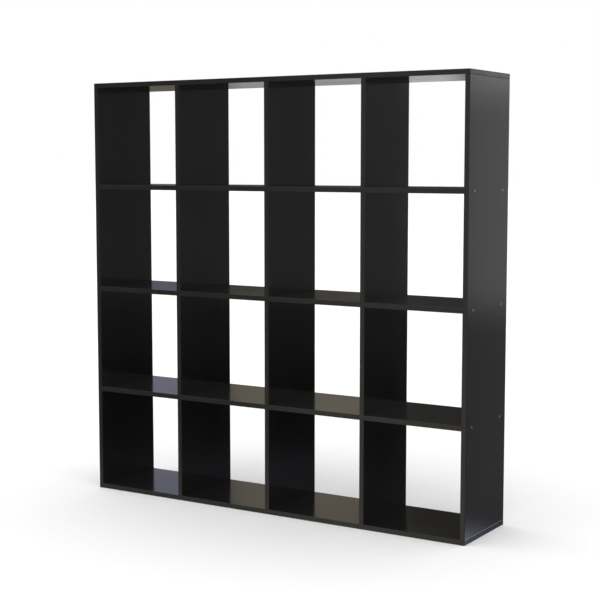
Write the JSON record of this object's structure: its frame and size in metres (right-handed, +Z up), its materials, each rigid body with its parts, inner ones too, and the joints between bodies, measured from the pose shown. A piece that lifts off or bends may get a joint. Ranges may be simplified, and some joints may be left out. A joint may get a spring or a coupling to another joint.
{
  "type": "cube storage unit",
  "caption": "Open-backed square cube storage unit in thin black board: capping top and bottom, through shelves, short dividers in line, screwed and dowelled joints.",
  "frame": {"origin": "on the floor, under the middle of the unit's footprint", "axes": "+Z up, the front faces -Y, and +X is to the right of a person who faces the front"},
  "size_m": [1.42, 0.29, 1.42],
  "materials": {
    "black_melamine_board": "satin black melamine foil with a fine pore texture, on chipboard",
    "black_edge_band": "satin black plastic edge band, slightly smoother than the faces",
    "zinc_screw": "bright zinc-plated steel",
    "beech_dowel": "raw fluted beech"
  },
  "bodies": {
    "root": {"top_panel": "black_melamine_board", "bottom_panel": "black_melamine_board", "left_side_panel": "black_melamine_board", "right_side_panel": "black_melamine_board", "lower_shelf": "black_melamine_board", "middle_shelf": "black_melamine_board", "upper_shelf": "black_melamine_board", "divider_row1_left": "black_melamine_board", "divider_row1_middle": "black_melamine_board", "divider_row1_right": "black_melamine_board", "divider_row2_left": "black_melamine_board", "divider_row2_middle": "black_melamine_board", "divider_row2_right": "black_melamine_board", "divider_row3_left": "black_melamine_board", "divider_row3_middle": "black_melamine_board", "divider_row3_right": "black_melamine_board", "divider_row4_left": "black_melamine_board", "divider_row4_middle": "black_melamine_board", "divider_row4_right": "black_melamine_board", "top_panel_bands": "black_edge_band", "top_panel_end_bands": "black_edge_band", "bottom_panel_bands": "black_edge_band", "bottom_panel_end_bands": "black_edge_band", "left_side_bands": "black_edge_band", "right_side_bands": "black_edge_band", "lower_shelf_bands": "black_edge_band", "middle_shelf_bands": "black_edge_band", "upper_shelf_bands": "black_edge_band", "divider_row1_left_bands": "black_edge_band", "divider_row1_middle_bands": "black_edge_band", "divider_row1_right_bands": "black_edge_band", "divider_row2_left_bands": "black_edge_band", "divider_row2_middle_bands": "black_edge_band", "divider_row2_right_bands": "black_edge_band", "divider_row3_left_bands": "black_edge_band", "divider_row3_middle_bands": "black_edge_band", "divider_row3_right_bands": "black_edge_band", "divider_row4_left_bands": "black_edge_band", "divider_row4_middle_bands": "black_edge_band", "divider_row4_right_bands": "black_edge_band", "top_panel_screws": "zinc_screw", "bottom_panel_screws": "zinc_screw", "left_side_screws": "zinc_screw", "right_side_screws": "zinc_screw", "top_panel_dowels": "beech_dowel", "bottom_panel_dowels": "beech_dowel", "left_side_dowels": "beech_dowel", "right_side_dowels": "beech_dowel", "lower_shelf_crossing_dowels": "beech_dowel", "middle_shelf_crossing_dowels": "beech_dowel", "upper_shelf_crossing_dowels": "beech_dowel"}
  },
  "joints": []
}
